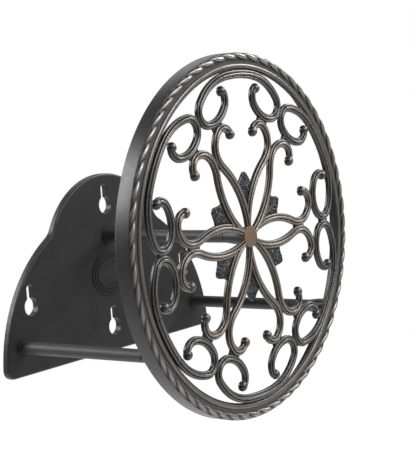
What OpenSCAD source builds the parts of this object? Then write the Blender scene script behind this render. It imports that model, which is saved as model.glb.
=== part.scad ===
// Wall-mounted garden hose holder.
// A round cast medallion of scrollwork stands off a cast back plate on three tubes.
// The hose is coiled over the tubes, in the space between the plate and the medallion.
// Sizes are millimetres. X runs across the wall, Y points into the wall and Z is up.
// The origin is on the face that lies on the wall, midway between the upper and the lower
// keyhole. Heights of the plate's features are given from the axis of the upper tube.

/* [Medallion] */

// Overall diameter, outside of the rope border
medallion_d = 304.8; // [280:0.1:330]
// Width of the ring's flange, from the medallion's edge to the flange's inner edge
flange_w = 14.4; // [12.5:0.1:20]
// Length of the ring's side wall, from the flange's face to its rear edge
ring_wall_len = 14.2; // [8:0.1:20]
// Thickness of the ring's side wall
ring_wall_t = 3; // [2:0.1:4]
// Thickness of the ring's flange
flange_t = 1.8; // [1.4:0.1:2.4]
// Depth of the flange's face behind the plane of the scrollwork
flange_drop = 1.8; // [1.2:0.1:2.2]
// Radius of the bead next to the rope
outer_bead_r = 1.9; // [1.2:0.1:2.2]
// Radius of the bead at the flange's inner edge
inner_bead_r = 1.6; // [1:0.1:1.9]
// Distance from the rope's inner edge to the middle of the bead next to it
outer_bead_in = 2.3; // [1.9:0.1:2.8]
// Distance from the flange's inner edge to the middle of the bead on it
inner_bead_in = 1.8; // [1.7:0.1:2.2]
// Height of the outer bead's middle over the flange's face
outer_bead_rise = 0.2; // [0:0.05:0.4]
// Height of the inner bead's middle over the flange's face
inner_bead_rise = 0.1; // [0:0.05:0.3]

/* [Rope border] */

// Radius of the rope over the crown of its strands
rope_r = 3.1; // [2.4:0.1:3.6]
// Depth of the groove between two strands
rope_groove = 1; // [0.4:0.1:1.3]
// Number of strand crowns round the border
rope_strands = 60; // [48:1:66]
// Height of the rope's middle over the flange's face
rope_rise = 0.8; // [0.4:0.1:1.4]

/* [Scrollwork bars] */

// Width of the reeded bars
bar_w = 7; // [6:0.1:8]
// Depth of the bars behind the plane of the scrollwork
bar_back = 2.4; // [2:0.1:3.2]
// Height of the middle reed's crown over that plane
mid_reed_h = 1.8; // [1.4:0.1:2.4]
// Height of the side reeds' crowns over that plane
side_reed_h = 0.9; // [0.5:0.1:1.2]
// Radius of the middle reed
mid_reed_r = 1.5; // [1.3:0.05:1.8]
// Radius of the side reeds
side_reed_r = 1.3; // [1.1:0.05:1.5]
// How far the side reeds stand out over the bars' sides
side_reed_lip = 0.06; // [0.04:0.01:0.08]
// Width of the seam between two bars that lie side by side
seam_w = 0.2; // [0.1:0.05:0.5]
// Thickness of the webs that join bars across a seam or a notch
web_t = 1.8; // [1:0.1:2.2]
// Drop of the end balls' middles below the plane of the scrollwork
ball_drop = 1.1; // [0.6:0.1:1.4]

/* [Petals] */

// Number of petals and of scroll pairs round the medallion
sectors = 6; // [6:1:6]
// Where a petal is widest, as a share of the way from the hub to its waist
petal_belly_share = 0.4924; // [0.446:0.0001:0.552]
// Half the width there, to the middle of its bar, as a share of the distance from the hub
petal_belly_spread = 0.2987; // [0.266:0.0001:0.334]
// Radius of the reverse bend at a petal's waist
petal_neck_r = 28.4; // [24:0.1:32]
// Radius of the first bend of a petal's hook
hook_r = 17.7; // [16:0.1:19]
// Turn of that bend in degrees
hook_turn = 77; // [70:1:84]
// Radius of the hook's curl
curl_r = 9.8; // [8.6:0.1:11]
// Turn of the curl in degrees
curl_turn = 109; // [95:1:120]
// Diameter of the balls that end the petals' hooks
petal_ball_d = 8.8; // [8:0.1:9.6]
// Gap between a hook's bend and the joint with the scroll next to it
hook_gap = 0.3; // [0.2:0.1:0.6]
// Length of the joint between a hook and a scroll
hook_joint_len = 14; // [10:0.5:16]
// Reach of the web in that joint, to each side of it
joint_web = 4; // [3:0.1:5]
// Reach of the web at a petal's waist, to each side of it
waist_web = 10; // [8:0.1:12]

/* [Leaves] */

// Distance from the hub to a leaf's root
leaf_root_r = 27; // [24:0.5:30]
// Distance from the hub to a leaf's tip
leaf_tip_r = 55.6; // [52:0.1:60]
// Distance from the hub to a leaf's shoulders
leaf_shoulder_r = 45.7; // [43:0.1:48]
// Width of a leaf
leaf_w = 16.6; // [14:0.1:18]
// Depth of a leaf's face behind the plane of the scrollwork
leaf_drop = 0.8; // [0.5:0.1:1.2]
// Height of a leaf's ribs over its face
leaf_rib_h = 0.6; // [0.3:0.1:0.8]
// Distance from the hub to the start of a leaf's middle rib
leaf_rib_r = 36; // [33:0.5:40]
// Distance from a leaf's tip to the end of its middle rib
leaf_rib_end = 2; // [1:0.1:4]
// Distance from a leaf's shoulders to the start of its first side rib
side_rib_back = 6; // [5:0.1:7]
// Distance from one side rib to the next
side_rib_step = 4.5; // [3:0.1:6]
// Distance from a side rib's end to the leaf's edge
side_rib_end = 1.5; // [1:0.1:2.5]

/* [Scrolls] */

// Distance from the bar along the ring to the point where a pair of scrolls touches
scroll_foot = 19.8; // [18:0.1:22]
// Radius of a scroll's lower bend on its hub side
scroll_low_r = 11.8; // [10.5:0.1:13]
// Turn of that bend in degrees
scroll_low_turn = 61; // [56:1:66]
// Radius of a scroll's flat side towards the hub
scroll_side_r = 27.3; // [24:0.1:31]
// Turn of that side in degrees
scroll_side_turn = 58; // [52:1:64]
// Radius of a scroll's upper bend
scroll_top_r = 11.5; // [10:0.1:13]
// Turn of that bend in degrees
scroll_top_turn = 55; // [48:1:62]
// Radius of a scroll's curl
scroll_curl_r = 4.6; // [4.3:0.1:5.2]
// Turn of that curl in degrees
scroll_curl_turn = 62; // [50:1:75]
// Diameter of the balls that end the scrolls
scroll_ball_d = 8.6; // [8:0.1:9.4]
// Radius of a scroll's lower bend on its ring side
scroll_foot_r = 10.4; // [9:0.1:12]
// Radius of the arm that runs out into the bar along the ring
scroll_arm_r = 48; // [40:0.5:56]
// Reach of the web between a pair of scrolls, to each side of the point where it touches
foot_web = 7.3; // [6:0.1:8]

/* [Hub] */

// Diameter of the plain disc on the hub
hub_d = 18; // [16:0.1:20]
// Thickness of that disc
hub_t = 1; // [0.6:0.1:1.6]
// Height of the disc's face over the plane of the scrollwork
hub_face_h = 1.9; // [1.6:0.1:2.4]
// Width of the hub's rim round the disc
hub_rim = 0.4; // [0.2:0.1:1]
// Bevel round the disc
hub_bevel = 0.4; // [0.2:0.1:0.5]

/* [Tubes and tie bolts] */

// Outside diameter of the three tubes
tube_d = 10.7; // [9.6:0.1:12]
// Wall of the tubes
tube_wall = 1.2; // [0.8:0.1:1.5]
// Length of the tubes, from the plate's face to the bosses
tube_len = 132; // [100:1:160]
// Distance from the medallion's edge to the axes of the two lower tubes
lower_tube_in = 10.4; // [9.4:0.1:11.9]
// Angle of the two lower tubes below the horizontal
lower_tube_angle = 33.8; // [31:0.1:37]
// Length of the bosses behind the scrollwork's back
boss_len = 21.8; // [18:0.1:26]
// Length of a boss's slim end
boss_end_len = 10; // [6:0.5:14]
// Radius of a boss behind its slim end
boss_waist_r = 6.6; // [6.2:0.1:7]
// Radius of the hub's boss at its root
hub_boss_root_r = 9.2; // [8:0.1:11]
// Radius of the two ring bosses at their roots
ring_boss_root_r = 7.6; // [7.5:0.1:8]
// Thread diameter of the tie bolts
bolt_d = 6; // [5:0.5:7]
// Head diameter of the tie bolts
bolt_head_d = 12; // [10:0.1:13]
// Length that a tie bolt runs into its boss
bolt_grip = 12; // [9:0.5:14]
// Across flats of the socket in a tie bolt's head
bolt_socket_af = 4; // [3:0.5:4]
// Depth of that socket
bolt_socket_depth = 2.3; // [1.5:0.1:2.6]
// Clearance round a bolt in its hole
bolt_gap = 0.3; // [0.1:0.05:0.4]
// Clearance round a bolt in the boss that it screws into
thread_gap = 0.1; // [0.05:0.01:0.2]
// Free length of the boss hole past the bolt's end
boss_hole_spare = 2; // [1:0.1:4]

/* [Back plate] */

// Thickness of the back plate
plate_t = 6; // [5:0.1:8]
// Height of the plate's top over the upper tube's axis
plate_top = 56; // [52:0.5:66]
// Radius of the plate's domed top
dome_r = 77.2; // [72:0.1:84]
// Radius of the plate's two sides
side_r = 130; // [120:0.5:150]
// Radius of the hollow between the dome and a side
hollow_r = 18; // [12:0.5:30]
// Radius of the two lower corners
corner_r = 8; // [5:0.5:12]
// Distance from a lower tube's axis to the plate's side edge
side_margin = 19.9; // [16:0.1:26]
// Distance from the lower tubes' axes to the plate's bottom edge
bottom_margin = 25; // [20:0.1:32]
// Rounding of the plate's front edge
arris_r = 1.8; // [1:0.1:2.4]
// Diameter of the round part of the keyholes
keyhole_d = 16; // [13:0.1:17]
// Width of the keyholes' slots
keyhole_slot_w = 8.4; // [6:0.1:8.5]
// Overall height of the keyholes
keyhole_h = 27; // [24:0.1:28]
// Height of the upper keyhole's round part over the upper tube
upper_keyhole_z = 28; // [24:0.5:30]
// Distance of the lower keyhole's round part below the upper tube
lower_keyhole_z = 82; // [76:0.5:86]
// Distance of the side keyholes from the lower tubes' axes, across the plate
side_keyhole_in = 14; // [12:0.5:22]
// Distance of the side keyholes' round part below the upper tube
side_keyhole_z = 46.5; // [44:0.5:60]
// Diameter of the collars round the tubes
collar_d = 14.6; // [13.6:0.1:17]
// Height of the collars
collar_h = 1.2; // [1:0.1:3]
// Clearance round a tube in its collar
collar_gap = 0.15; // [0.05:0.01:0.3]

/* [Plate badge] */

// Distance of the bare oval badge's middle below the upper tube
badge_z = 34; // [32:0.5:36]
// Half the width of the badge
badge_half_w = 24.5; // [20:0.1:28]
// Half the height of the badge
badge_half_h = 19.5; // [16:0.1:21]
// Step from one raised ring of the badge to the next
badge_step = 3.2; // [2.6:0.1:3.6]
// Width of each raised ring
badge_ring_w = 1.5; // [1:0.1:2]
// Height of the rings over the plate's face
badge_h = 0.8; // [0.4:0.1:1.2]

/* [Hidden] */

$fn = 64;

// where two bends of a bar meet, every other bend is finer by a hair and runs into the next
hair = 0.02;
lap = 0.3;

sector = 360 / sectors;
half = sector / 2;
medallion_r = medallion_d / 2;
ring_in = medallion_r - flange_w;
rope_mid = medallion_r - rope_r;

// height of the upper tube's axis over the origin, midway between two keyholes
axis_z = (lower_keyhole_z - upper_keyhole_z) / 2;

// depth of the scrollwork plane in front of the wall
face_y = plate_t + tube_len + boss_len + bar_back;

// the bar along the ring, and the place where a pair of scrolls touches
tail_r = ring_in - bar_w / 2;
pair_z = bar_w / 2 + seam_w / 2;
foot_x = tail_r - scroll_foot;

// the scroll's flat side and the joint with the petal's hook
side_cx = foot_x + (scroll_side_r - scroll_low_r) * sin(scroll_low_turn);
side_cz = pair_z + scroll_low_r + (scroll_side_r - scroll_low_r) * cos(scroll_low_turn);
joint_x = side_cx - scroll_side_r - bar_w / 2;

// the scroll's arm turns until it runs into the bar along the ring without a kink
arm_d = scroll_foot_r - scroll_arm_r;
arm_q = pair_z + scroll_foot_r;
arm_k = (pow(tail_r - scroll_arm_r, 2) - pow(foot_x, 2) - pow(arm_q, 2) - pow(arm_d, 2)) / (2 * arm_d);
foot_turn = atan2(arm_q, foot_x) + asin(arm_k / norm([foot_x, arm_q]));
arm_angle = atan2(arm_q - arm_d * cos(foot_turn), foot_x + arm_d * sin(foot_turn));
arm_turn = 90 + arm_angle - foot_turn;
seam_angle = seam_w / scroll_arm_r * 90 / PI;

// the petal's waist lies one hook away from the joint, and its long bends meet the belly
waist_x = joint_x - hook_gap - bar_w / 2 - hook_r * sin(hook_turn) - curl_r * (1 - sin(hook_turn));
petal_belly_x = petal_belly_share * waist_x;
petal_belly_z = petal_belly_spread * petal_belly_x;
belly_run = waist_x - petal_belly_x;
belly_rise = petal_belly_z - pair_z;
neck_turn = 2 * atan(belly_rise / belly_run);
belly_r = belly_run / sin(neck_turn) - petal_neck_r;
hub_r = hub_d / 2;
hub_core_r = hub_r + hub_rim;

// past the belly, the bend runs on into the hub
root_turn = asin((petal_belly_x - 0.6 * hub_core_r) / belly_r);

// the curl's centre, level with the middle of the joint
joint_z = pair_z + hook_r - (hook_r - curl_r) * cos(hook_turn);

// tubes
lower_tube_r = medallion_r - lower_tube_in;
lower_x = lower_tube_r * cos(lower_tube_angle);
lower_z = -lower_tube_r * sin(lower_tube_angle);
tube_r = tube_d / 2;
sites = [[0, 0], [-lower_x, lower_z], [lower_x, lower_z]];
bolt_head_h = (bolt_head_d - bolt_d) / 2;

// plate outline: a dome and two long side arcs, joined by a hollow
plate_bottom = lower_z - bottom_margin;
dome_c = [0, plate_top - dome_r];
side_c = [lower_x + side_margin - side_r, plate_bottom];
hollow_c = meet(dome_c, dome_r + hollow_r, side_c, side_r + hollow_r);
dome_end = atan2(hollow_c[1] - dome_c[1], hollow_c[0] - dome_c[0]);
side_start = atan2(hollow_c[1] - side_c[1], hollow_c[0] - side_c[0]);
side_end = asin(corner_r / (side_r - corner_r));
corner_c = [side_c[0] + (side_r - corner_r) * cos(side_end), plate_bottom + corner_r];
side_keyhole_x = lower_x - side_keyhole_in;

// the upper right point where two circles cross
function meet(a, ra, b, rb) =
    let (d = norm(b - a), u = (b - a) / d, k = (d * d + ra * ra - rb * rb) / (2 * d))
    a + u * k + [-u[1], u[0]] * sqrt(ra * ra - k * k);

function unit(angle) = [cos(angle), sin(angle)];

// Where a chain of bends stands before each bend and after the last: x, y and heading.
function stations(bends) = [for (i = 0, p = [0, 0, 0]; i <= len(bends);
    p = i < len(bends) ? next_station(p, bends[i]) : p, i = i + 1) p];

function next_station(p, bend) =
    let (side = sign(bend[1]), r = side * bend[0], h = p[2], t = p[2] + bend[1])
    [p[0] + r * (sin(t) - sin(h)), p[1] + r * (cos(h) - cos(t)), t];

// Sweeps a 2D profile along a chain of bends, each [radius, turn]. A positive turn bends
// left and a negative one right. Every other bend, from the one that first picks out, is
// fine: its profile reads $fine, which draws it in by a hair.
module sweep(bends, first = 0) {
    at = stations(bends);
    for (i = [0 : len(bends) - 1]) {
        r = bends[i][0];
        t = bends[i][1];
        $fine = ((i + first) % 2) * hair;
        over = ((i + first) % 2) * lap / r * 180 / PI;
        side = sign(t);
        translate([at[i][0] - side * r * sin(at[i][2]), at[i][1] + side * r * cos(at[i][2]), 0])
            rotate([0, 0, at[i][2] - side * 90 + min(t, 0) - over])
                rotate_extrude(angle = abs(t) + 2 * over) translate([r, 0]) children();
    }
}

// Puts its children at the end of such a chain.
module at_end(bends) {
    p = stations(bends)[len(bends)];
    translate([p[0], p[1], 0]) rotate([0, 0, p[2]]) children();
}

// Stands the flat work up: its plane becomes the wall's plane and its height faces the room.
module upright(y) {
    translate([0, -y, axis_z]) rotate([90, 0, 0]) children();
}

// Section of the bars: a flat back, square sides and three reeds on the face.
module bar_profile() {
    w = bar_w / 2 - $fine;
    side_z = side_reed_h - side_reed_r;
    translate([-w, -bar_back + $fine]) square([2 * w, bar_back - $fine + side_z]);
    translate([0, mid_reed_h - mid_reed_r]) circle(r = mid_reed_r - $fine);
    for (s = [-1, 1])
        translate([s * (bar_w / 2 - side_reed_r + side_reed_lip), side_z])
            circle(r = side_reed_r - $fine);
}

// A ball that ends a bar, cut flat just short of the plane of the bars' backs.
module end_ball(d) {
    flat = bar_back - 2 * hair;
    intersection() {
        translate([0, 0, -ball_drop]) sphere(d = d);
        translate([-d, -d, -flat]) cube([2 * d, 2 * d, flat + d]);
    }
}

// A half and its mirror image across a petal's axis.
module both_sides() {
    children();
    mirror([0, 1, 0]) children();
}

// A low web across a seam or notch, with its sides inside the bars that it joins.
module web(x0, x1, z0, z1) {
    translate([x0, z0, -bar_back + hair]) cube([x1 - x0, z1 - z0, web_t]);
}

// Half a petal, above its axis. Its long bend runs in to the hub, cut along the seam that
// it shares with the next petal.
module half_petal() {
    hook = [[hook_r, hook_turn], [curl_r, curl_turn]];
    far = petal_belly_x * 3;
    difference() {
        intersection() {
            translate([waist_x, pair_z, 0]) rotate([0, 0, 180])
                sweep([[petal_neck_r, -neck_turn], [belly_r, neck_turn + root_turn]])
                    bar_profile();
            rotate([0, 0, half]) translate([0, -far - seam_w / 2, -far / 2]) cube([far, far, far]);
        }
        translate([0, 0, -far / 2]) cylinder(r = hub_core_r + seam_w / 2, h = far);
    }
    translate([waist_x, pair_z, 0]) {
        sweep(hook, 1) bar_profile();
        at_end(hook) end_ball(petal_ball_d);
    }
    web(joint_x - joint_web, joint_x, joint_z - hook_joint_len / 2, joint_z + hook_joint_len / 2);
}

// A petal: two reeded bars from the hub, side by side at the waist, ending in hooks.
module petal(k) {
    color([0.30, 0.27, 0.24]) upright(face_y) rotate([0, 0, k * sector]) {
        both_sides() half_petal();
        web(waist_x - waist_web, waist_x + waist_web, -bar_w / 2, bar_w / 2);
    }
}

// Half a pair of scrolls: the loop with its curl, and the arm that runs out to the ring.
module half_scroll() {
    loop = [[scroll_low_r, -scroll_low_turn], [scroll_side_r, -scroll_side_turn],
        [scroll_top_r, -scroll_top_turn], [scroll_curl_r, -scroll_curl_turn]];
    arm = [[scroll_foot_r, foot_turn], [scroll_arm_r, arm_turn - seam_angle]];
    translate([foot_x, pair_z, 0]) {
        rotate([0, 0, 180]) {
            sweep(loop) bar_profile();
            at_end(loop) end_ball(scroll_ball_d);
        }
        sweep(arm, 1) bar_profile();
    }
    web(joint_x + seam_w / 2, joint_x + joint_web,
        joint_z - hook_joint_len / 2, joint_z + hook_joint_len / 2);
}

// A pair of scrolls, foot to foot on a petal's axis.
module scroll_pair(k) {
    color([0.24, 0.24, 0.25]) upright(face_y) rotate([0, 0, k * sector]) {
        both_sides() half_scroll();
        web(foot_x - foot_web, foot_x + foot_web, -bar_w / 2, bar_w / 2);
    }
}

// The six bars along the inside of the ring that join one pair of scrolls to the next.
module ring_bars() {
    $fine = 0;
    gap = seam_w / tail_r * 90 / PI;
    color([0.24, 0.24, 0.25]) upright(face_y)
        for (k = [0 : sectors - 1]) rotate([0, 0, k * sector + arm_angle + gap])
            rotate_extrude(angle = sector - 2 * arm_angle - 2 * gap)
                translate([tail_r - hair, 0]) bar_profile();
}

// A leaf fills the notch between two petals and stands out of it with pointed shoulders.
module leaf() {
    w = leaf_w / 2;
    bend_c = [petal_belly_x, petal_belly_z - belly_r];
    translate([0, 0, -bar_back]) linear_extrude(bar_back - leaf_drop)
        difference() {
            polygon([[leaf_root_r, -0.2 * w], [leaf_shoulder_r - 1.4 * w, -w],
                [leaf_shoulder_r - 0.3 * w, -w], [leaf_shoulder_r + 0.4 * w, -0.6 * w],
                [leaf_tip_r, 0], [leaf_shoulder_r + 0.4 * w, 0.6 * w],
                [leaf_shoulder_r - 0.3 * w, w], [leaf_shoulder_r - 1.4 * w, w],
                [leaf_root_r, 0.2 * w]]);
            for (m = [0, 1]) mirror([0, m]) rotate(-half)
                translate(bend_c) circle(r = belly_r + bar_w / 2 + seam_w);
        }
    translate([leaf_rib_r, 0, -leaf_drop - 5 * hair])
        rotate([0, 90, 0]) cylinder(r = leaf_rib_h, h = leaf_tip_r - leaf_rib_end - leaf_rib_r);
    for (k = [0, 1], s = [-1, 1])
        translate([leaf_shoulder_r - side_rib_back + side_rib_step * k, 0, -leaf_drop - 5 * hair])
            rotate([0, 90, s * 42])
                cylinder(r = 0.7 * leaf_rib_h, h = w - side_rib_end * (1 + 4 / 3 * k));
}

module leaves() {
    color([0.20, 0.22, 0.25]) upright(face_y)
        for (k = [0 : sectors - 1]) rotate([0, 0, half + k * sector]) leaf();
}

// A boss on the casting's back, with the blind hole for its tie bolt.
module boss(root_r) {
    slim = boss_len - boss_end_len;
    translate([0, 0, -bar_back - boss_len]) {
        cylinder(r1 = tube_r, r2 = boss_waist_r, h = boss_end_len);
        translate([0, 0, boss_end_len]) cylinder(r1 = boss_waist_r, r2 = root_r, h = slim);
    }
}

module boss_hole() {
    deep = bolt_grip + boss_hole_spare;
    translate([0, 0, -bar_back - boss_len - 1])
        cylinder(d = bolt_d + 2 * thread_gap, h = deep + 1);
}

// The hub that the petals spring from, with the boss for the upper tube behind it.
module hub() {
    color([0.30, 0.27, 0.24]) upright(face_y)
        difference() {
            union() {
                translate([0, 0, -bar_back]) cylinder(r = hub_core_r, h = bar_back + hub_face_h - hub_t);
                boss(hub_boss_root_r);
            }
            boss_hole();
        }
}

// The plain disc that covers the middle of the hub.
module hub_button() {
    color([0.55, 0.42, 0.32]) upright(face_y)
        translate([0, 0, hub_face_h - hub_t]) {
            cylinder(r = hub_r, h = hub_t - hub_bevel);
            translate([0, 0, hub_t - hub_bevel])
                cylinder(r1 = hub_r, r2 = hub_r - hub_bevel, h = hub_bevel);
        }
}

// The ring: a thin flange with two beads, a deep side wall and two bosses on its back.
module ring_rim() {
    flange_back = flange_drop + flange_t;
    bead_out = medallion_r - 2 * rope_r - outer_bead_in;
    color([0.32, 0.32, 0.34]) upright(face_y)
        difference() {
            union() {
                rotate_extrude() {
                    translate([ring_in, -flange_back]) square([medallion_r - ring_in, flange_t]);
                    translate([medallion_r - ring_wall_t, -flange_drop - ring_wall_len])
                        square([ring_wall_t, ring_wall_len]);
                    translate([bead_out, -flange_drop + outer_bead_rise]) circle(r = outer_bead_r);
                    translate([ring_in + inner_bead_in, -flange_drop + inner_bead_rise])
                        circle(r = inner_bead_r);
                }
                for (k = [1, 2]) translate([sites[k][0], sites[k][1], 0]) boss(ring_boss_root_r);
            }
            for (k = [1, 2]) translate([sites[k][0], sites[k][1], 0]) boss_hole();
        }
}

// The twisted rope on the ring's front corner. Its section has two lobes and turns half
// round from one strand's crown to the next, and its back is flat, on the flange's face.
module rope_border() {
    steps = 5;
    round = 10;
    n = rope_strands * steps;
    deep = rope_r - rope_groove;
    lobe = (rope_r * rope_r - deep * deep) / (2 * rope_r);
    strand = rope_r - lobe;
    function reach(a) = lobe * abs(cos(a)) + sqrt(pow(strand, 2) - pow(lobe * sin(a), 2));
    function rope_point(j, k) =
        let (turn = 360 * j / n, around = -16 + 212 * k / (round - 1),
             reach = reach(around + turn * rope_strands / 2),
             r = rope_mid + reach * cos(around),
             h = (k == 0 || k == round - 1) ? -rope_rise : max(reach * sin(around), -rope_rise + 5 * hair))
        [r * cos(turn), r * sin(turn), h];
    points = [for (j = [0 : n - 1], k = [0 : round - 1]) rope_point(j, k)];
    faces = [for (j = [0 : n - 1], k = [0 : round - 1], half_face = [0, 1])
        let (a = j * round + k, b = j * round + (k + 1) % round,
             c = ((j + 1) % n) * round + (k + 1) % round, d = ((j + 1) % n) * round + k)
        half_face == 0 ? [a, b, c] : [a, c, d]];
    color([0.28, 0.28, 0.29]) upright(face_y)
        translate([0, 0, -flange_drop + rope_rise]) polyhedron(points, faces, convexity = 8);
}

// Points of an arc about a centre, from one angle to another, both ends included.
function arc(c, r, a0, a1, n) = [for (i = [0 : n]) c + r * unit(a0 + (a1 - a0) * i / n)];

// The right half of the plate's outline, from the top down, drawn in by a distance.
function half_outline(inset) = concat(
    arc(dome_c, dome_r - inset, 90, dome_end, 20),
    arc(hollow_c, hollow_r + inset, dome_end + 180, side_start + 180, 8),
    arc(side_c, side_r - inset, side_start, side_end, 16),
    arc(corner_c, corner_r - inset, side_end, -90, 8));

// The whole outline, anticlockwise, with no point twice.
function outline(inset) =
    let (h = half_outline(inset), n = len(h))
    concat([for (i = [n - 1 : -1 : 0]) h[i]], [for (i = [1 : n - 1]) [-h[i][0], h[i][1]]]);

// The rounded front edge: a ring whose section is a quarter round over the plate's rim.
module plate_arris() {
    steps = 4;
    low = plate_t - arris_r - 0.5;
    rings = concat([[arris_r + 0.5, low], [hair, low]],
        [for (i = [0 : steps]) let (a = 90 * i / steps)
            [hair + arris_r * (1 - cos(a)), plate_t - arris_r + (arris_r - hair) * sin(a)]],
        [[arris_r + 0.5, plate_t - hair]]);
    n = len(outline(0));
    m = len(rings);
    points = [for (j = [0 : m - 1]) let (o = outline(rings[j][0]))
        for (i = [0 : n - 1]) [o[i][0], o[i][1], rings[j][1]]];
    faces = [for (j = [0 : m - 1], i = [0 : n - 1], side = [0, 1])
        let (a = j * n + i, b = j * n + (i + 1) % n,
             c = ((j + 1) % m) * n + (i + 1) % n, d = ((j + 1) % m) * n + i)
        side == 0 ? [a, b, c] : [a, c, d]];
    polyhedron(points, [for (f = faces) [f[0], f[2], f[1]]], convexity = 8);
}

module keyhole() {
    slot_r = keyhole_slot_w / 2;
    rise = keyhole_h - keyhole_d / 2 - slot_r;
    translate([0, 0, -1]) linear_extrude(plate_t + 2) {
        circle(d = keyhole_d);
        translate([0, rise]) circle(r = slot_r);
        translate([-slot_r, 0]) square([keyhole_slot_w, rise]);
    }
}

function oval(a, b, n = 60) = [for (i = [0 : n - 1]) [a * cos(360 * i / n), b * sin(360 * i / n)]];

// One raised ring of the badge, drawn in by a distance.
module badge_ring(inset) {
    linear_extrude(plate_t + badge_h)
        difference() {
            polygon(oval(badge_half_w - inset, badge_half_h - inset));
            polygon(oval(badge_half_w - inset - badge_ring_w, badge_half_h - inset - badge_ring_w));
        }
}

// The plate on the wall: domed top, rounded front edge, four keyholes, three collars that
// hold the tubes' ends, countersinks for the tie bolts behind and a bare oval badge.
module back_plate() {
    color([0.22, 0.22, 0.23]) upright(0)
        difference() {
            union() {
                linear_extrude(plate_t - arris_r) polygon(outline(0));
                linear_extrude(plate_t) polygon(outline(arris_r));
                plate_arris();
                for (p = sites) translate([p[0], p[1], plate_t / 2])
                    cylinder(d = collar_d, h = plate_t / 2 + collar_h);
                for (k = [0 : 2]) translate([0, -badge_z, 0]) badge_ring(k * badge_step);
            }
            for (p = sites) translate([p[0], p[1], 0]) {
                translate([0, 0, plate_t]) cylinder(r = tube_r + collar_gap, h = collar_h + 1);
                translate([0, 0, -1]) cylinder(d = bolt_d + 2 * bolt_gap, h = plate_t + 2);
                translate([0, 0, -1])
                    cylinder(d1 = bolt_head_d + 2 * bolt_gap + 2, d2 = bolt_d + 2 * bolt_gap,
                        h = bolt_head_h + 1);
            }
            translate([0, upper_keyhole_z, 0]) keyhole();
            translate([0, -lower_keyhole_z, 0]) keyhole();
            for (s = [-1, 1]) translate([s * side_keyhole_x, -side_keyhole_z, 0]) keyhole();
        }
}

// A tube that spaces the medallion off the plate and carries the hose.
module tube(site) {
    color([0.35, 0.35, 0.37]) upright(plate_t)
        translate([site[0], site[1], 0])
            difference() {
                cylinder(d = tube_d, h = tube_len);
                translate([0, 0, -1]) cylinder(d = tube_d - 2 * tube_wall, h = tube_len + 2);
            }
}

module upper_tube() {
    tube(sites[0]);
}

module lower_left_tube() {
    tube(sites[1]);
}

module lower_right_tube() {
    tube(sites[2]);
}

// A long countersunk bolt from behind the plate, through its tube and into its boss.
module tie_bolt(site) {
    shank = plate_t + tube_len + bolt_grip;
    color([0.6, 0.6, 0.62]) upright(0)
        translate([site[0], site[1], 0])
            difference() {
                union() {
                    translate([0, 0, bolt_gap])
                        cylinder(d1 = bolt_head_d, d2 = bolt_d, h = bolt_head_h);
                    translate([0, 0, bolt_gap]) cylinder(d = bolt_d, h = shank - bolt_gap);
                }
                translate([0, 0, bolt_gap - 1])
                    cylinder(d = bolt_socket_af / cos(30), h = bolt_socket_depth + 1, $fn = 6);
            }
}

module upper_tie_bolt() {
    tie_bolt(sites[0]);
}

module lower_left_tie_bolt() {
    tie_bolt(sites[1]);
}

module lower_right_tie_bolt() {
    tie_bolt(sites[2]);
}

back_plate();
upper_tube();
lower_left_tube();
lower_right_tube();
upper_tie_bolt();
lower_left_tie_bolt();
lower_right_tie_bolt();
ring_rim();
rope_border();
ring_bars();
leaves();
hub();
hub_button();
petal(0);  // petal_1
petal(1);  // petal_2
petal(2);  // petal_3
petal(3);  // petal_4
petal(4);  // petal_5
petal(5);  // petal_6
scroll_pair(0);  // scroll_pair_1
scroll_pair(1);  // scroll_pair_2
scroll_pair(2);  // scroll_pair_3
scroll_pair(3);  // scroll_pair_4
scroll_pair(4);  // scroll_pair_5
scroll_pair(5);  // scroll_pair_6
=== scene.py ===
"""A wall-mounted hose holder: a round openwork medallion on three tubes, off a back plate.

Metres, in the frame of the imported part: +X to the right, +Y into the wall, +Z up.
"""
import math
import bmesh
import bpy
import numpy as np
from mathutils import Matrix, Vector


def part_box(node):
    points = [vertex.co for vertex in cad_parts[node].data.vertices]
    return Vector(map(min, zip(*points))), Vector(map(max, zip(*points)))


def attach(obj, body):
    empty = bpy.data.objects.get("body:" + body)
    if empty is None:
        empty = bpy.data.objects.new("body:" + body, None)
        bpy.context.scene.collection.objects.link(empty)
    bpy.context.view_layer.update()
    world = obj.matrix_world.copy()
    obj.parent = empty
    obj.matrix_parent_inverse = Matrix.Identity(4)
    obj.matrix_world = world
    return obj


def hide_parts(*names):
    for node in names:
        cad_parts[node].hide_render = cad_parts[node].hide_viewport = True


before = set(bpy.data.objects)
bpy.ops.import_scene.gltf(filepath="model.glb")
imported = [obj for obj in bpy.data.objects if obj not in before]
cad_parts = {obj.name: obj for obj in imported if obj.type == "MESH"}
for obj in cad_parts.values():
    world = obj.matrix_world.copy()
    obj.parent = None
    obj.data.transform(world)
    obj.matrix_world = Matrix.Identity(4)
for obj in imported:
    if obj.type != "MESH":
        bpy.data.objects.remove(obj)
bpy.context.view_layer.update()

# The ring of the medallion. It is cast in aluminium in one piece with the scrollwork: a thin
# flange with a broad bead and a thin rim on its face and a deep side wall behind, its edges
# rounded by the pattern's draft. Two bosses on its back take the lower tubes.
ring_low, ring_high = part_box("ring_rim")
hub_low, hub_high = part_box("hub_button")
ring_r = (ring_high.x - ring_low.x) / 2
hub_x = (ring_low.x + ring_high.x) / 2
hub_z = (hub_low.z + hub_high.z) / 2
disc_face = 0.0019
work_y = hub_low.y + disc_face
flange_face, flange_back, flange_in = -0.0018, -0.0036, 0.138
wall_back, wall_in = -0.0160, 0.1494
coat_grey = (0.026, 0.026, 0.027, 1)
coat_worn = (0.040, 0.039, 0.039, 1)
coat_bare = (0.45, 0.43, 0.40, 1)


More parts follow.
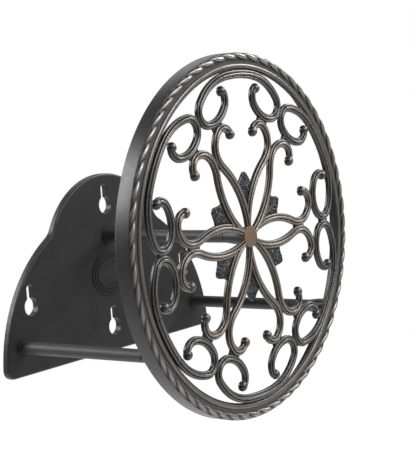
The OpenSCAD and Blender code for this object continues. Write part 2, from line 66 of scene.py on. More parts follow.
def on_medallion(flat):
    """Stands flat work up: (right, up, height towards the room), measured from the hub's
    middle in the plane of the scrollwork, becomes (x, y, z)."""
    return np.stack([hub_x + flat[..., 0], work_y - flat[..., 2], hub_z + flat[..., 1]], -1)


def turned(flat, degrees):
    """Turns flat work about the hub: right and up are mixed by the angle's cosine and sine."""
    c, s = math.cos(math.radians(degrees)), math.sin(math.radians(degrees))
    return np.stack([c * flat[..., 0] - s * flat[..., 1],
                     s * flat[..., 0] + c * flat[..., 1], flat[..., 2]], -1)


def rounded(corners, steps=5):
    """A closed section through corners given as (radius, height, rounding). Each corner is a
    quadratic curve that starts and ends its rounding away from the corner, on the two sides."""
    corner = np.array(corners, float)
    point, cut = corner[:, :2], corner[:, 2:]
    to_last = np.roll(point, 1, 0) - point
    to_next = np.roll(point, -1, 0) - point
    to_last /= np.linalg.norm(to_last, axis=1, keepdims=True)
    to_next /= np.linalg.norm(to_next, axis=1, keepdims=True)
    t = np.linspace(0, 1, steps)[None, :, None]
    begin = (point + to_last * cut)[:, None]
    end = (point + to_next * cut)[:, None]
    curve = (1 - t) ** 2 * begin + 2 * t * (1 - t) * point[:, None] + t ** 2 * end
    curve = curve.reshape(-1, 2)
    return np.vstack([curve, curve[:1]])


def lathe(section, turns, middle=(0.0, 0.0)):
    """Carries a section of (radius, height) round an axis square to the flat work: at each
    angle the radius becomes its cosine to the right and its sine up."""
    a = np.linspace(0, 2 * math.pi, turns + 1)[:, None]
    r, h = section[None, :, 0], section[None, :, 1]
    return np.stack([middle[0] + r * np.cos(a), middle[1] + r * np.sin(a), h + 0 * a], -1)


def piece(name, grids, rubs_and_shade=None, crease=35):
    """One mesh from grids of points, where neighbours in a grid make quads. Borders that
    touch are merged and faces turned outwards. The levels given with the grids say how far each
    point is rubbed bright, and a low level paints it in groove shade; an edge sharper than
    crease degrees stays sharp."""
    start, points, quads = 0, [], []
    for grid in grids:
        rows, cols = grid.shape[:2]
        a = start + np.arange(rows - 1)[:, None] * cols + np.arange(cols - 1)
        quads.append(np.stack([a, a + 1, a + cols + 1, a + cols], -1).reshape(-1, 4))
        points.append(grid.reshape(-1, 3))
        start += rows * cols
    points, quads = np.concatenate(points), np.concatenate(quads)
    mesh = bpy.data.meshes.new(name)
    mesh.vertices.add(len(points))
    mesh.vertices.foreach_set("co", points.ravel())
    mesh.loops.add(quads.size)
    mesh.loops.foreach_set("vertex_index", quads.ravel())
    mesh.polygons.add(len(quads))
    mesh.polygons.foreach_set("loop_start", np.arange(len(quads)) * 4)
    mesh.update(calc_edges=True)
    # The attribute carries both the rub and the painted groove shade that the coat draws from
    # it.
    if rubs_and_shade is not None:
        worn = mesh.attributes.new("rub_and_shade", "FLOAT", "POINT")
        worn.data.foreach_set("value", np.concatenate([np.asarray(r).ravel() for r in rubs_and_shade]))
    shape = bmesh.new()
    shape.from_mesh(mesh)
    bmesh.ops.remove_doubles(shape, verts=shape.verts, dist=2e-6)
    bmesh.ops.recalc_face_normals(shape, faces=shape.faces)
    shape.to_mesh(mesh)
    shape.free()
    mesh.shade_smooth()
    mesh.set_sharp_from_angle(angle=math.radians(crease))
    new = bpy.data.objects.new(name, mesh)
    bpy.context.scene.collection.objects.link(new)
    return new


def maths(tree, operation, first, second):
    """A maths node in a node tree. Each of its two inputs is an output socket or a number."""
    node = tree.nodes.new("ShaderNodeMath")
    node.operation = operation
    for socket, value in zip(node.inputs, (first, second)):
        if isinstance(value, float):
            socket.default_value = value
        else:
            tree.links.new(value, socket)
    return node.outputs["Value"]


def cast_coat(name, dark, worn, bare=None, rub_and_shade=0.0, crest=1.0, grain=0.00005, shine=0.42,
              metal=0.35, relief=0.12):
    """A baked coat on a casting: a dark colour mottled by slow noise, worn to a lighter one in
    fine flecks, on sand-cast grain. Where the piece's attribute for rub and shade is low, as in
    a groove, the coat is darkened towards half its dark colour, which is painted shade. It is
    rubbed to a bare colour and down to the metal by the attribute raised to the power crest, so
    a high crest gives a thin line."""
    material = bpy.data.materials.new(name)
    material.use_nodes = True
    tree = material.node_tree
    nodes, links = tree.nodes, tree.links
    shader = nodes["Principled BSDF"]
    place = nodes.new("ShaderNodeTexCoord")

    def spread(value, **range_ends):
        stretch = nodes.new("ShaderNodeMapRange")
        for end, number in range_ends.items():
            stretch.inputs[end.replace("_", " ").title()].default_value = number
        links.new(value, stretch.inputs["Value"])
        return stretch.outputs["Result"]

    def noise(scale, detail, low, high):
        cloud = nodes.new("ShaderNodeTexNoise")
        cloud.inputs["Scale"].default_value = scale
        cloud.inputs["Detail"].default_value = detail
        links.new(place.outputs["Object"], cloud.inputs["Vector"])
        return spread(cloud.outputs["Fac"], from_min=low, from_max=high)

    def blend(amount, first, second):
        mix = nodes.new("ShaderNodeMix")
        mix.data_type = "RGBA"
        links.new(amount, mix.inputs["Factor"])
        for socket, colour in ((mix.inputs["A"], first), (mix.inputs["B"], second)):
            if isinstance(colour, tuple):
                socket.default_value = colour
            else:
                links.new(colour, socket)
        return mix.outputs["Result"]

    mottle = maths(tree, "MULTIPLY", noise(scale=45, detail=2, low=0.30, high=0.80), 0.40)
    flecks = maths(tree, "MULTIPLY", noise(scale=900, detail=2, low=0.62, high=0.80), 0.20)
    polish = noise(scale=300, detail=3, low=0.3, high=0.7)
    sand = noise(scale=1100, detail=3, low=0.2, high=0.8)
    colour = blend(flecks, blend(mottle, dark, worn), worn)
    roughness = spread(polish, to_min=shine - 0.02, to_max=shine + 0.04)
    if rub_and_shade:
        wear_and_shade_level = nodes.new("ShaderNodeAttribute")
        wear_and_shade_level.attribute_name = "rub_and_shade"
        # Painted shade: where the attribute is low, in grooves, notches, feet and backs, the
        # colour is pulled towards half the dark colour.
        painted_groove_shade = tuple(0.5 * v for v in dark[:3]) + (1,)
        line = maths(tree, "POWER", wear_and_shade_level.outputs["Fac"], crest)
        patchy = maths(tree, "MULTIPLY", line, noise(scale=90, detail=2, low=-0.25, high=0.55))
        rubbed = maths(tree, "MULTIPLY", patchy, rub_and_shade)
        colour = blend(rubbed, blend(wear_and_shade_level.outputs["Fac"], painted_groove_shade, colour), bare)
        roughness = maths(tree, "SUBTRACT", roughness, maths(tree, "MULTIPLY", line, 0.08))
        links.new(spread(rubbed, to_min=metal, to_max=0.9), shader.inputs["Metallic"])
    else:
        shader.inputs["Metallic"].default_value = metal
    links.new(colour, shader.inputs["Base Color"])
    links.new(roughness, shader.inputs["Roughness"])
    bump = nodes.new("ShaderNodeBump")
    bump.inputs["Strength"].default_value = relief
    bump.inputs["Distance"].default_value = grain
    links.new(sand, bump.inputs["Height"])
    links.new(bump.outputs["Normal"], shader.inputs["Normal"])
    return material


arc = np.linspace(math.pi, 0, 13)


def raised_line(line_r, half, rise):
    """The section of a line raised on the flange, half an ellipse: the radius changes with
    the angle's cosine and the height with its sine."""
    return np.stack([line_r + half * np.cos(arc), flange_face + rise * np.sin(arc)], -1)


bead = raised_line(0.1412, half=0.0022, rise=0.0018)
rim = raised_line(0.1385, half=0.0005, rise=0.0005)
shell = rounded([
    (ring_r, flange_face, 0.0009), (ring_r, wall_back, 0.0008), (wall_in, wall_back, 0.0008),
    (wall_in, flange_back, 0.0016), (flange_in, flange_back, 0.0006)], 6)[:-1]
ring_section = np.vstack([shell, rim, bead, shell[:1]])
ring_grid = lathe(ring_section, 240)
# The shell is a little rubbed, the rim more, the bead's crest most, and so is the flat band
# that starts at the bead's last point and runs to the rope. A low level also paints shade: the
# feet of the rim and bead are darkest, and the whole shell is darkened part way towards the
# groove shade.
shell_rub, rim_rub, band_rub = 0.45, 0.6, 0.9
section_rub_and_shade = np.full(len(ring_section), shell_rub)
section_rub_and_shade[len(shell):-1] = np.concatenate([rim_rub * np.sin(arc), np.sin(arc) ** 0.5])
section_rub_and_shade[-2] = band_rub

bar_back = -0.0024
tube_r = 0.00535
boss_length, boss_flare_length = 0.0218, 0.0118
boss_waist_r, boss_chamfer = 0.0066, 0.0004


def boss_grid(root_r, middle):
    """A boss behind the flat work: a slim end as wide as its tube, a waist, and a root that
    flares with the square of the way to the casting."""
    t = np.linspace(0, 1, 13)
    end = bar_back - boss_length
    slim = np.array([[0.0, end], [tube_r - boss_chamfer, end], [tube_r, end + boss_chamfer]])
    flare = np.stack([boss_waist_r + (root_r - boss_waist_r) * t ** 2,
                      bar_back - boss_flare_length * (1 - t)], -1)
    root = np.array([[0.0, bar_back]])
    return lathe(np.vstack([slim, flare, root]), 48, middle)


def from_hub(node):
    """The middle of a node as (right, up) from the hub's middle."""
    low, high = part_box(node)
    return (low.x + high.x) / 2 - hub_x, (low.z + high.z) / 2 - hub_z


ring_boss_root_r = 0.0076
ring_bosses = [boss_grid(ring_boss_root_r, from_hub(node))
               for node in ("lower_left_tube", "lower_right_tube")]
# The bosses behind have no rub, so the coat paints them in its darkest groove shade.
ring = piece("medallion_ring", [on_medallion(g) for g in [ring_grid] + ring_bosses],
             [np.broadcast_to(section_rub_and_shade, ring_grid.shape[:2])]
             + [np.zeros(g.shape[:2]) for g in ring_bosses])
ring.data.materials.append(cast_coat("ring_coat", coat_grey, coat_worn, coat_bare, rub_and_shade=0.25,
                                     crest=4.0, shine=0.38))
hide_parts("ring_rim")
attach(ring, "root")

# The rope border on the ring's front corner. It is part of the casting: two thick strands
# twisted round each other, sunk into the corner and cut flat where they lie on the flange.
rope_r, strand_r, rope_sunk = 0.0031, 0.0021, 0.0007
strands, steps_per_strand = 60, 14
rope_mid = ring_r - rope_r
strand_off = rope_r - strand_r
# Around the rope its surface lies as far from the rope's middle line as the outer of two
# circles, whose middles are set off from that line and turn with the way along it.
along = np.linspace(0, 2 * math.pi, strands * steps_per_strand + 1)[:, None]
around = np.radians(np.linspace(-6, 186, 27))[None, :]
twist = around + along * strands / 2
reach = strand_off * np.abs(np.cos(twist)) + np.sqrt(
    strand_r ** 2 - (strand_off * np.sin(twist)) ** 2)
from_middle = rope_mid + reach * np.cos(around)
rope_rise = np.maximum(flange_face - rope_sunk + reach * np.sin(around), flange_face - 0.0002)
rope_top = np.stack([from_middle * np.cos(along), from_middle * np.sin(along), rope_rise], -1)
rope_foot = rope_top[:, [-1, 0]].copy()
# The strands' crests are rubbed; the grooves between strands and the flanks down to the flange
# are painted in shade, and the rope's foot, with no rub, darkest.
crest_reach, crest_fade, flank = 0.0019, 0.0007, 0.4
rope_rub_and_shade = (np.clip((reach - crest_reach) / crest_fade, 0, 1)
            * np.sin(np.clip(around, flank, math.pi - flank)))
rope = piece("rope_border_twist", [on_medallion(rope_top), on_medallion(rope_foot)],
             [rope_rub_and_shade, np.zeros(rope_foot.shape[:2])], crease=60)
rope.data.materials.append(cast_coat("rope_coat", coat_grey, coat_worn, coat_bare, rub_and_shade=0.55,
                                     crest=2.5, shine=0.40))
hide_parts("rope_border")
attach(rope, "root")

# The six petals. Each is two reeded bars that spring from the hub, swell, lie side by side at
# the waist and part into hooks with balls on their ends. Bronze is rubbed on the raised reeds,
# and the grooves between them are painted in shade.
bar_half = 0.0035
pair_z = 0.0036
petal_waist = 0.07616
petal_neck_r, petal_neck_turn = 0.0284, 22.24
petal_belly_r, petal_root_turn = 0.0737, 25.6
hook_bends = ((0.0177, 77), (0.0098, 109))
petal_ball_r = 0.0044
joint_x, joint_z = 0.09746, 0.01952
joint_in, joint_out, joint_length = 0.004, 0.003, 0.014


def chain(start, heading, bends, step=0.0008):
    """Points and headings (right, up, angle) along arcs of (radius, turn), a left turn
    positive. The angle grows evenly, and a point lies one radius square to it from the
    arc's middle."""
    x, y, h = start[0], start[1], math.radians(heading)
    rows = [np.array([[x, y, h]])]
    for radius, turn in bends:
        turn = math.radians(turn)
        side = math.copysign(radius, turn)
        count = max(4, int(abs(turn) * radius / step))
        a = h + turn * np.arange(1, count + 1) / count
        rows.append(np.stack([x + side * (np.sin(a) - math.sin(h)),
                              y + side * (math.cos(h) - np.cos(a)), a], -1))
        x, y, h = rows[-1][-1]
    return np.vstack(rows)


def joined(first, second):
    """One path from two that start at the same point and head opposite ways: the first is run
    backwards, with half a turn added to its angles."""
    return np.vstack([first[:0:-1] + [0, 0, math.pi], second])


def beside(path, off):
    """The line that lies off to the left of a path, square to its heading at each point."""
    return np.stack([path[:, 0] - off * np.sin(path[:, 2]),
                     path[:, 1] + off * np.cos(path[:, 2])], -1)


def reed_section():
    """Across, height and rub of the bars' section: a middle reed between two of nearly its
    radius, which meet it in grooves, on straight sides with a rounded flat back. A reed is a
    circle, and its rub is the sine of the angle on it, so its crest is rubbed and the grooves,
    the outer sides and the back, with little or no rub, are painted in shade."""
    side_reed_r, side_reed_at, side_reed_height = 0.0012, 0.0023, -0.0003
    middle_reed_r, middle_reed_height = 0.00125, 0.00055
    side_a = np.radians(np.linspace(0, 151, 9))
    middle_a = np.radians(np.linspace(-12.5, 192.5, 13))
    right = np.stack([side_reed_at + side_reed_r * np.cos(side_a),
                      side_reed_height + side_reed_r * np.sin(side_a),
                      np.sin(side_a) * 0.95], -1)
    middle = np.stack([middle_reed_r * np.cos(middle_a),
                       middle_reed_height + middle_reed_r * np.sin(middle_a),
                       np.clip(np.sin(middle_a), 0, 1)], -1)
    left = right[::-1] * [-1, 1, 1]
    left_back = np.array([[-bar_half, bar_back + 0.0005, 0],
                          [-bar_half + 0.0002, bar_back + 0.0001, 0],
                          [-bar_half + 0.0006, bar_back, 0]])
    right_back = left_back[::-1] * [-1, 1, 1]
    loop = np.vstack([right, middle[1:-1], left, left_back, right_back])
    return np.vstack([loop, loop[:1]])


def caps(shape):
    """Closes the two ends of a shape towards the middle of each end's section."""
    return [np.stack([shape[e], np.broadcast_to(shape[e].mean(0), shape[e].shape)])
            for e in (0, -1)]


def unrubbed_in_shade(grids):
    """Grids paired with a rub of nought at each point, which the coat paints in its darkest
    groove shade.
    """
    return [(g, np.zeros(g.shape[:2])) for g in grids]


reeds = reed_section()


def reeded_bar(path):
    """Carries the section along a path: across is laid off to the left of the heading."""
    left = np.stack([-np.sin(path[:, 2]), np.cos(path[:, 2])], -1)
    flat = path[:, None, :2] + reeds[None, :, :1] * left[:, None]
    height = np.broadcast_to(reeds[:, 1], flat.shape[:2])
    bar = np.concatenate([flat, height[..., None]], -1)
    return [(bar, np.broadcast_to(reeds[:, 2], bar.shape[:2]))] + unrubbed_in_shade(caps(bar))


def ball(path, radius):
    """A ball round a path's end, cut flat at the bars' back: rings of radius times the sine
    at a height of the cosine, down to the cut. Its rub is nine tenths of the cosine, so its top
    is rubbed and its sides are painted darker in shade towards the cut."""
    ball_height = -0.0011
    a = np.linspace(0, math.acos((bar_back - ball_height) / radius), 13)
    section = np.stack([radius * np.sin(a), ball_height + radius * np.cos(a)], -1)
    section = np.vstack([section, [[0.0, bar_back]]])
    shape = lathe(section, 26, path[-1, :2])
    rub_and_shade = np.append(np.clip(np.cos(a), 0, 1) * 0.9, 0)
    return [(shape, np.broadcast_to(rub_and_shade, shape.shape[:2]))]


def crotch(edge, top=0.0001):
    """Fills the narrow notch between two bars that mirror each other: a low bridge with a
    raised middle, from a little inside the bar at each point of the edge to its mirror
    image. It has no rub, so the coat paints it in its darkest groove shade."""
    inside, bevel, crown = 0.0004, 0.0003, 0.0002
    x, y = edge[:, 0], np.maximum(edge[:, 1], 0.0) + inside
    back = bar_back + 0.0001
    rim = ((-1, back), (-1, top - bevel), (-0.5, top), (0, top + crown), (0.5, top),
           (1, top - bevel), (1, back), (-1, back))
    shape = np.stack([np.stack([x, s * y, 0 * x + h], -1) for s, h in rim], 1)
    return unrubbed_in_shade([shape] + caps(shape))


def bridge(x0, x1, y0, y1, top=0.0):
    """A low block with rounded ends that joins two bars which touch: its width across the
    joint is even, and its height falls off at the two ends with the root of one less the
    fourth power of the way there. It has no rub, so the coat paints it in its darkest groove
    shade."""
    t = np.linspace(-1, 1, 15)[:, None]
    back = bar_back + 0.0001
    high = back + 0.0001 + (top - bar_back) * np.sqrt(np.clip(1 - t ** 4, 0, 1))
    y = (y0 + y1) / 2 + (y1 - y0) / 2 * t
    rim = ((x0, 0), (x0, 1), (x1, 1), (x1, 0), (x0, 0))
    shape = np.stack([np.stack([x + 0 * t, y, back + u * (high - bar_back)], -1)[:, 0]
                      for x, u in rim], 1)
    return unrubbed_in_shade([shape] + caps(shape))


def mirrored(parts):
    """The parts and their mirror images across a petal's axis."""
    return parts + [(g * [1, -1, 1], r) for g, r in parts]


def within_sector(parts):
    """Keeps half a petal between its axis and the seam half a sector away: a point past
    either line is moved square to it, to just short of the line."""
    short = 0.00003
    seam_right, seam_up = math.cos(math.pi / 6), math.sin(math.pi / 6)
    kept = []
    for grid, rub_and_shade in parts:
        grid = grid.copy()
        grid[..., 1] = np.maximum(grid[..., 1], short)
        past = grid[..., 1] * seam_right - grid[..., 0] * seam_up
        over = np.maximum(past + short, 0)
        grid[..., 0] += over * seam_up
        grid[..., 1] -= over * seam_right
        kept.append((grid, rub_and_shade))
    return kept


body_bar = chain((petal_waist, pair_z), 180,
                 ((petal_neck_r, -petal_neck_turn),
                  (petal_belly_r, petal_neck_turn + petal_root_turn)))
hook_bar = chain((petal_waist, pair_z), 0, hook_bends)
notch = np.vstack([beside(body_bar, bar_half)[:9][::-1], beside(hook_bar, -bar_half)[1:7]])
half_petal = (
    within_sector(reeded_bar(joined(body_bar, hook_bar))) + ball(hook_bar, petal_ball_r)
    + bridge(joint_x - joint_in, joint_x + joint_out,
             joint_z - joint_length / 2, joint_z + joint_length / 2))
whole_petal = mirrored(half_petal) + crotch(notch)
petal_coat = cast_coat("petal_coat", (0.030, 0.024, 0.020, 1), (0.055, 0.044, 0.037, 1),
                       (0.66, 0.57, 0.49, 1), rub_and_shade=0.60, crest=9.0, shine=0.30, metal=0.4)
for k in range(6):
    petal = piece(f"reeded_petal_{k + 1}",
                  [on_medallion(turned(g, 60 * k)) for g, r in whole_petal],
                  [r for g, r in whole_petal])
    petal.data.materials.append(petal_coat)
    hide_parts(f"petal_{k + 1}")
    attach(petal, "root")

# The six pairs of scrolls between the petals and the ring. Each scroll is a reeded bar that
# loops round into a curl with a ball, and whose other arm runs out along the ring.
foot_x = 0.1147
loop_bends = ((0.0118, -61), (0.0273, -58), (0.0115, -55), (0.0046, -62))
arm_bends = ((0.0104, 64.4), (0.048, 46.2))
scroll_ball_r = 0.0043
loop_bar = chain((foot_x, pair_z), 180, loop_bends)
arm_bar = chain((foot_x, pair_z), 0, arm_bends)
foot_notch = np.vstack([beside(loop_bar, bar_half)[:6][::-1],
                        beside(arm_bar, -bar_half)[1:6]])
half_scroll = reeded_bar(joined(loop_bar, arm_bar)) + ball(loop_bar, scroll_ball_r)
whole_scroll = mirrored(half_scroll) + crotch(foot_notch)
# Their coat is rubbed light on the reeds' crests and painted in shade in the grooves, notches
# and backs.
scroll_coat = cast_coat("scroll_coat", (0.024, 0.023, 0.024, 1), (0.038, 0.037, 0.037, 1),
                        (0.56, 0.54, 0.51, 1), rub_and_shade=0.35, crest=10.0, shine=0.29)
for k in range(6):
    scroll = piece(f"scroll_loops_{k + 1}",
                   [on_medallion(turned(g, 60 * k)) for g, r in whole_scroll],
                   [r for g, r in whole_scroll])
    scroll.data.materials.append(scroll_coat)
    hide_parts(f"scroll_pair_{k + 1}")
    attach(scroll, "root")

# The bars along the inside of the ring, from one pair of scrolls to the next. They are cast
# with them and carry on the reeds of the scrolls' arms.
tail_r, arm_angle = 0.1345, 20.6
tail_start = (tail_r * math.cos(math.radians(arm_angle)),
              tail_r * math.sin(math.radians(arm_angle)))
tail_bar = reeded_bar(chain(tail_start, arm_angle + 90, ((tail_r, 60 - 2 * arm_angle),)))
tails = piece("ring_reeds",
              [on_medallion(turned(g, 60 * k)) for k in range(6) for g, r in tail_bar],
              [r for k in range(6) for g, r in tail_bar])
tails.data.materials.append(scroll_coat)
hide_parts("ring_bars")
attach(tails, "root")

# The six leaves in the notches between the petals, part of the casting. Each fills its notch
# from side to side and ends in a blunt point beyond it, with veins and a pebbled face.
leaf_start, notch_start, shoulder_x = 0.0258, 0.0262, 0.0453
into_bar = 0.00015
tip = np.array([(0.0480, 0.0066), (0.0502, 0.0050), (0.0522, 0.0034), (0.0537, 0.0017),
                (0.0542, 0.0000)])
leaf_middle = np.array([0.0440, 0.0])
leaf_low, leaf_crown, pebble_rise = -0.0010, 0.0007, 0.0003
spine_rise, vein_rise = 0.00025, 0.0003
vein_half, vein_gap, vein_from, vein_slant = 0.0008, 0.0044, 0.0330, 0.9
# The edge follows the flank of the petal's bar, seen along the leaf's own axis, to the
# shoulder and then the tip. It is cut into even steps and mirrored.
petal_flank = turned(np.pad(beside(body_bar, -bar_half), ((0, 0), (0, 1))), -30) * [1, -1, 1]
petal_flank = petal_flank[np.argsort(petal_flank[:, 0])]
notch_x = np.linspace(notch_start, shoulder_x, 24)
notch_y = np.interp(notch_x, petal_flank[:, 0], petal_flank[:, 1]) + into_bar
notch_y = np.maximum(notch_y, 0.0001)
leaf_edge = np.vstack([[leaf_start, 0.0], np.stack([notch_x, notch_y], -1), tip])
edge_length = np.insert(np.cumsum(np.linalg.norm(np.diff(leaf_edge, axis=0), axis=1)), 0, 0)
along_edge = np.linspace(0, edge_length[-1], 49)
half_edge = np.stack([np.interp(along_edge, edge_length, leaf_edge[:, i]) for i in (0, 1)], -1)
full_edge = np.vstack([half_edge, half_edge[-2::-1] * [1, -1]])
# The face is crowned with the sixth power of the way out. The spine and the side veins are
# bell curves across their lines, and the pebbles a product of two bent sine waves.
u = np.linspace(0, 1, 22)[:, None, None]
leaf_flat = leaf_middle + u * (full_edge[None] - leaf_middle)
lx, ly = leaf_flat[..., 0], leaf_flat[..., 1]
from_vein = (lx - np.abs(ly) * vein_slant - vein_from) % vein_gap - vein_gap / 2
spine = np.exp(-(ly / vein_half) ** 2)
side_vein = np.exp(-(from_vein / vein_half) ** 2)
pebbles = np.sin(lx * 2500 + 2 * np.sin(ly * 1900)) * np.sin(ly * 2700 + 2 * np.sin(lx * 1600))
leaf_rise = (leaf_low + leaf_crown * (1 - u[..., 0] ** 6) + spine_rise * spine
             + vein_rise * side_vein * (1 - spine) + pebble_rise * pebbles)
leaf_top = np.concatenate([leaf_flat, leaf_rise[..., None]], -1)
leaf_under = np.stack([leaf_top[-1], leaf_top[-1] * [1, 1, 0] + [0, 0, bar_back],
                       np.broadcast_to([leaf_middle[0], 0, bar_back], leaf_top[-1].shape)])
# The veins and pebble tops are rubbed; between them the coat is painted in groove shade, and
# the underside, with no rub, darkest.
leaf_rub_and_shade = np.clip(0.5 * side_vein + 0.8 * np.clip(pebbles, 0, 1), 0, 1)
leaves = piece("leaf_sprays",
               [on_medallion(turned(g, 30 + 60 * k)) for k in range(6)
                for g in (leaf_top, leaf_under)],
               [leaf_rub_and_shade, np.zeros(leaf_under.shape[:2])] * 6, crease=50)
leaves.data.materials.append(cast_coat(
    "leaf_coat", (0.020, 0.023, 0.025, 1), (0.034, 0.038, 0.040, 1), (0.28, 0.29, 0.29, 1),
    rub_and_shade=0.25, crest=5.0, shine=0.36))
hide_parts("leaves")
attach(leaves, "root")

# The hub that the petals spring from, a low round block of the same casting. The boss behind
# it takes the upper tube, and is coated grey as the tubes are.
hub_r, hub_face, hub_hole_r = 0.0094, 0.0008, 0.0001
hub_boss_root_r = 0.0092
hub_section = rounded([(hub_hole_r, bar_back, 0.00005), (hub_r, bar_back, 0.0004),
                       (hub_r, hub_face, 0.0004), (hub_hole_r, hub_face, 0.00005)])
hub_grids = [lathe(hub_section, 64), boss_grid(hub_boss_root_r, (0.0, 0.0))]
hub = piece("hub_casting", [on_medallion(g) for g in hub_grids])
hub.data.materials.append(cast_coat(
    "hub_coat", (0.028, 0.027, 0.027, 1), (0.044, 0.042, 0.041, 1), shine=0.50, metal=0.2))
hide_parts("hub")
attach(hub, "root")

# The plain disc on the hub, the one copper-brown spot of the casting. It is slightly crowned
# and softly edged.
disc_r = (hub_high.x - hub_low.x) / 2
disc_foot, disc_shoulder, disc_edge_r, disc_edge_rise = 0.0009, 0.0013, 0.0005, 0.0004
disc_crown = disc_face - disc_shoulder - disc_edge_rise
t = np.linspace(0, 1, 10)
# From the foot the section goes up the side, round the edge by a quarter of an ellipse, and
# over the crown, which rises with twice the way in less its square.
disc_section = np.vstack([
    [[0.0, disc_foot], [disc_r, disc_foot], [disc_r, disc_shoulder]],
    np.stack([disc_r - disc_edge_r * (1 - np.cos(t * math.pi / 2)),
              disc_shoulder + disc_edge_rise * np.sin(t * math.pi / 2)], -1),
    np.stack([(disc_r - disc_edge_r) * (1 - t[1:]),
              disc_shoulder + disc_edge_rise + disc_crown * t[1:] * (2 - t[1:])], -1)])
disc = piece("hub_disc", [on_medallion(lathe(disc_section, 64))], crease=50)
disc.data.materials.append(cast_coat(
    "copper_coat", (0.110, 0.067, 0.038, 1), (0.250, 0.168, 0.105, 1), grain=0.00010,
    shine=0.48, metal=0.25, relief=0.3))
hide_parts("hub_button")
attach(disc, "root")

# The three tubes that space the medallion off the plate and carry the hose: drawn aluminium
# with a smooth grey coat, sawn square and chamfered at both ends.
tube_wall, tube_chamfer = 0.0012, 0.0004
tube_coat = cast_coat("tube_coat", (0.034, 0.033, 0.035, 1), (0.052, 0.050, 0.052, 1),
                      grain=0.00004, shine=0.56, metal=0.2)
for side in ("upper", "lower_left", "lower_right"):
    low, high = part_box(f"{side}_tube")
    outer_r = (high.x - low.x) / 2
    bore_r = outer_r - tube_wall
    front, rear = work_y - low.y, work_y - high.y
    section = np.array([
        (outer_r, rear + tube_chamfer), (outer_r, front - tube_chamfer),
        (outer_r - tube_chamfer, front), (bore_r + tube_chamfer, front),
        (bore_r, front - tube_chamfer), (bore_r, rear + tube_chamfer),
        (bore_r + tube_chamfer, rear), (outer_r - tube_chamfer, rear),
        (outer_r, rear + tube_chamfer)])
    tube = piece(f"{side}_spacer_tube",
                 [on_medallion(lathe(section, 72, from_hub(f"{side}_tube")))])
    tube.data.materials.append(tube_coat)
    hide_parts(f"{side}_tube")
    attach(tube, "root")

# The back plate: a flat casting with a domed top, a rounded front edge, keyholes, collars
# round the tubes and a bare oval badge, in a satin charcoal coat.
plate_coat = cast_coat("plate_coat", (0.011, 0.011, 0.012, 1), (0.038, 0.036, 0.037, 1),
                       grain=0.00010, shine=0.46, metal=0.2, relief=0.25)
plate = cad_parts["back_plate"]
plate.data.materials.clear()
plate.data.materials.append(plate_coat)

# The three tie bolts from behind the plate: countersunk heads with hexagon sockets, in
# turned stainless steel.
bolt_steel = cast_coat("bolt_steel_turned", (0.42, 0.42, 0.43, 1), (0.52, 0.52, 0.53, 1),
                       grain=0.00002, shine=0.30, metal=1.0)
for side in ("upper", "lower_left", "lower_right"):
    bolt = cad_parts[f"{side}_tie_bolt"]
    bolt.data.materials.clear()
    bolt.data.materials.append(bolt_steel)

# The floor: a pale matt sheet well below the holder, which takes the holder's shadow. A glow
# that the camera sees in full, and metal in part, lifts it towards white.
floor_z, floor_half = -1.00, 4.0
floor_lift, mirrored_share = 0.85, 0.6
floor_coat = bpy.data.materials.new("pale_floor")
floor_coat.use_nodes = True
tree = floor_coat.node_tree
matt = tree.nodes["Principled BSDF"]
matt.inputs["Base Color"].default_value = (0.78, 0.78, 0.78, 1)
matt.inputs["Roughness"].default_value = 0.9
glow = tree.nodes.new("ShaderNodeEmission")
both = tree.nodes.new("ShaderNodeAddShader")
ray = tree.nodes.new("ShaderNodeLightPath")
in_metal = maths(tree, "MAXIMUM", ray.outputs["Is Glossy Ray"],
                 ray.outputs["Is Transmission Ray"])
seen = maths(tree, "MAXIMUM", ray.outputs["Is Camera Ray"],
             maths(tree, "MULTIPLY", in_metal, mirrored_share))
tree.links.new(maths(tree, "MULTIPLY", seen, floor_lift), glow.inputs["Strength"])
tree.links.new(matt.outputs["BSDF"], both.inputs[0])
tree.links.new(glow.outputs["Emission"], both.inputs[1])
tree.links.new(both.outputs["Shader"], tree.nodes["Material Output"].inputs["Surface"])
floor = piece("floor", [np.array([
    [[-floor_half, -floor_half, floor_z], [floor_half, -floor_half, floor_z]],
    [[-floor_half, floor_half, floor_z], [floor_half, floor_half, floor_z]]])])
floor.data.materials.append(floor_coat)

# The surround: dim for the light that it gives, white to the camera, and white in the metal
# only towards the right and the wall, so that the castings keep their dark sides.
surround_light = 0.16
bright_side = (0.79, 0.60, -0.10)
world = bpy.data.worlds.new("studio")
bpy.context.scene.world = world
world.use_nodes = True
tree = world.node_tree
dim = tree.nodes["Background"]
white = tree.nodes.new("ShaderNodeBackground")
for surround, strength in ((dim, surround_light), (white, 1.0)):
    surround.inputs["Color"].default_value = (1, 1, 1, 1)
    surround.inputs["Strength"].default_value = strength
way = tree.nodes.new("ShaderNodeTexCoord")
facing = tree.nodes.new("ShaderNodeVectorMath")
facing.operation = "DOT_PRODUCT"
facing.inputs[1].default_value = bright_side
fall = tree.nodes.new("ShaderNodeMapRange")
fall.interpolation_type = "SMOOTHSTEP"
fall.inputs["From Min"].default_value = 0.8
fall.inputs["From Max"].default_value = 1.0
ray = tree.nodes.new("ShaderNodeLightPath")
choose = tree.nodes.new("ShaderNodeMixShader")
tree.links.new(way.outputs["Generated"], facing.inputs[0])
tree.links.new(facing.outputs["Value"], fall.inputs["Value"])
in_metal = maths(tree, "MAXIMUM", ray.outputs["Is Glossy Ray"],
                 ray.outputs["Is Transmission Ray"])
seen = maths(tree, "MAXIMUM", ray.outputs["Is Camera Ray"],
             maths(tree, "MULTIPLY", in_metal, fall.outputs["Result"]))
tree.links.new(seen, choose.inputs["Fac"])
tree.links.new(dim.outputs["Background"], choose.inputs[1])
tree.links.new(white.outputs["Background"], choose.inputs[2])
tree.links.new(choose.outputs["Shader"], tree.nodes["World Output"].inputs["Surface"])

# The studio lamps, all soft and square, aimed at the middle of the holder: a large key above
# the front, one from the right, and others that line the ring's wall and light the back.
lamp_aim = (hub_x, work_y / 2, hub_z)


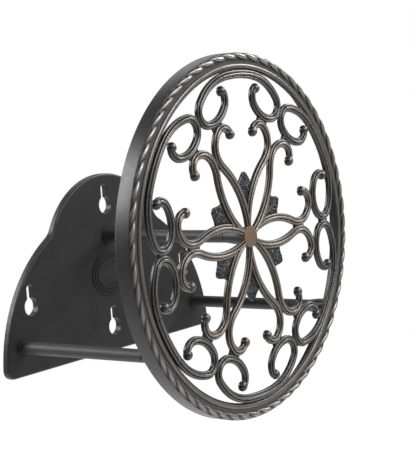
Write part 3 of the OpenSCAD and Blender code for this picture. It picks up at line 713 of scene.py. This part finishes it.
def lamp(name, place, size, power):
    """A square soft lamp of that size in metres and power in watts, that shines from its place
    towards the aim."""
    data = bpy.data.lights.new(name, "AREA")
    data.size = size
    data.energy = power
    stand = bpy.data.objects.new(name, data)
    bpy.context.scene.collection.objects.link(stand)
    back = np.array(place, float) - np.array(lamp_aim, float)
    back /= np.linalg.norm(back)
    right = np.cross([0, 0, 1], back)
    right /= np.linalg.norm(right)
    turn = np.eye(4)
    turn[:3, :3] = np.stack([right, np.cross(back, right), back], -1)
    turn[:3, 3] = place
    stand.matrix_world = Matrix(turn.tolist())


lamp("key", (0.35, -1.5, 1.0), 1.0, 36)
lamp("right", (1.4, -0.6, 0.95), 0.8, 24)
lamp("left_top", (-0.9, -1.0, 1.3), 0.8, 6)
lamp("left_rear", (-1.05, 1.0, 0.88), 0.8, 30)
lamp("top_rear", (0.9, 1.0, 1.2), 0.8, 3)
lamp("behind", (0.2, 1.7, 0.3), 1.0, 16)

# The camera, at the photograph's viewing angle: left of the medallion's axis, a little above
# it and tilted, aimed so that the hub falls on its pixel in the picture.
picture_w, picture_h = 412, 471
azimuth, elevation, roll = math.radians(-52.54), math.radians(6.08), math.radians(-4.37)
focal_pixels = 1434.33
hub_distance = 1.19197
hub_pixel = (249.52, 236.51)
sensor = 36.0
back = np.array([math.sin(azimuth) * math.cos(elevation),
                 -math.cos(azimuth) * math.cos(elevation), math.sin(elevation)])
level = np.cross(-back, [0, 0, 1])
level /= np.linalg.norm(level)
above = np.cross(level, -back)
right = math.cos(roll) * level + math.sin(roll) * above
up = math.cos(roll) * above - math.sin(roll) * level
to_hub = ((hub_pixel[0] - picture_w / 2) / focal_pixels * right
          - (hub_pixel[1] - picture_h / 2) / focal_pixels * up - back)
pose = np.eye(4)
pose[:3, :3] = np.stack([right, up, back], -1)
pose[:3, 3] = np.array([hub_x, work_y, hub_z]) - hub_distance * to_hub
lens = bpy.data.cameras.new("camera")
lens.sensor_width = sensor
lens.lens = sensor * focal_pixels / picture_h
lens.clip_start = 0.01
camera = bpy.data.objects.new("camera", lens)
bpy.context.scene.collection.objects.link(camera)
camera.matrix_world = Matrix(pose.tolist())
bpy.context.scene.camera = camera
bpy.context.scene.view_settings.view_transform = "Standard"
